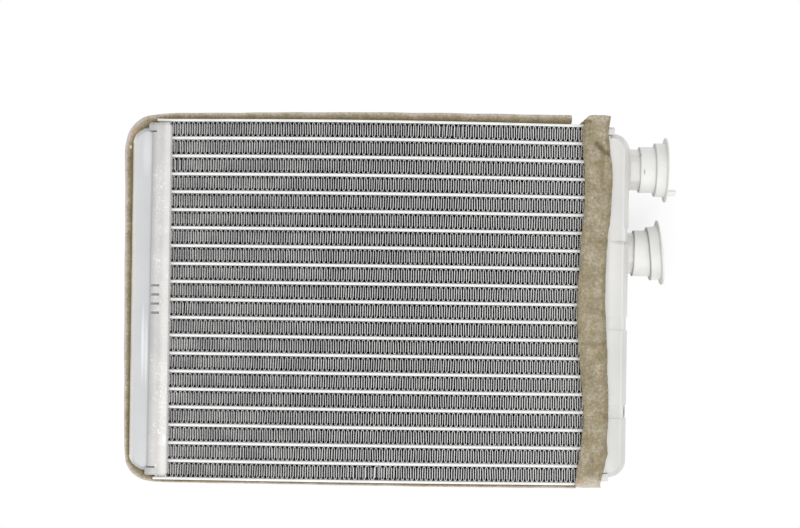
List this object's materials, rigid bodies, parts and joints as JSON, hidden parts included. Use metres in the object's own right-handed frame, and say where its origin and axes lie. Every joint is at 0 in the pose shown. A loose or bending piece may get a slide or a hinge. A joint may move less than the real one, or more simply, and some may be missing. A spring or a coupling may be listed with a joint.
{
  "type": "heater core",
  "caption": "Flat heater core: flat tubes and folded fins stacked between end tanks, with side coolant connectors and foam seals. Warms the air blown through it.",
  "frame": {"origin": "under the middle of the part's overall box, on the plane that the foam lies on", "axes": "+X along the tubes towards the coolant connectors, +Y up the stack of tubes towards the upper connector, +Z out of the front face"},
  "size_m": [0.2404, 0.1616, 0.0384],
  "materials": {
    "tube": "satin, bright brazed edges",
    "fin": "thin mill-finish sheet, dark between its folds",
    "side_plate": "satin, bright edges",
    "header": "matt with brazing flux speckle",
    "tank": "matt with brazing flux speckle",
    "connector": "matt, turned and brazed",
    "foam_strip": "open-cell foam",
    "foam_band": "open-cell foam"
  },
  "bodies": {
    "root": {"tube_01": "tube", "tube_02": "tube", "tube_03": "tube", "tube_04": "tube", "tube_05": "tube", "tube_06": "tube", "tube_07": "tube", "tube_08": "tube", "tube_09": "tube", "tube_10": "tube", "tube_11": "tube", "tube_12": "tube", "tube_13": "tube", "tube_14": "tube", "tube_15": "tube", "tube_16": "tube", "tube_17": "tube", "tube_18": "tube", "tube_19": "tube", "fin_01": "fin", "fin_02": "fin", "fin_03": "fin", "fin_04": "fin", "fin_05": "fin", "fin_06": "fin", "fin_07": "fin", "fin_08": "fin", "fin_09": "fin", "fin_10": "fin", "fin_11": "fin", "fin_12": "fin", "fin_13": "fin", "fin_14": "fin", "fin_15": "fin", "fin_16": "fin", "fin_17": "fin", "fin_18": "fin", "fin_19": "fin", "fin_20": "fin", "side_plate_top": "side_plate", "side_plate_bottom": "side_plate", "header_left": "header", "header_right": "header", "tank_left": "tank", "tank_right": "tank", "baffle": "tank", "connector_upper": "connector", "connector_lower": "connector", "foam_strip": "foam_strip", "foam_band": "foam_band"}
  },
  "joints": []
}
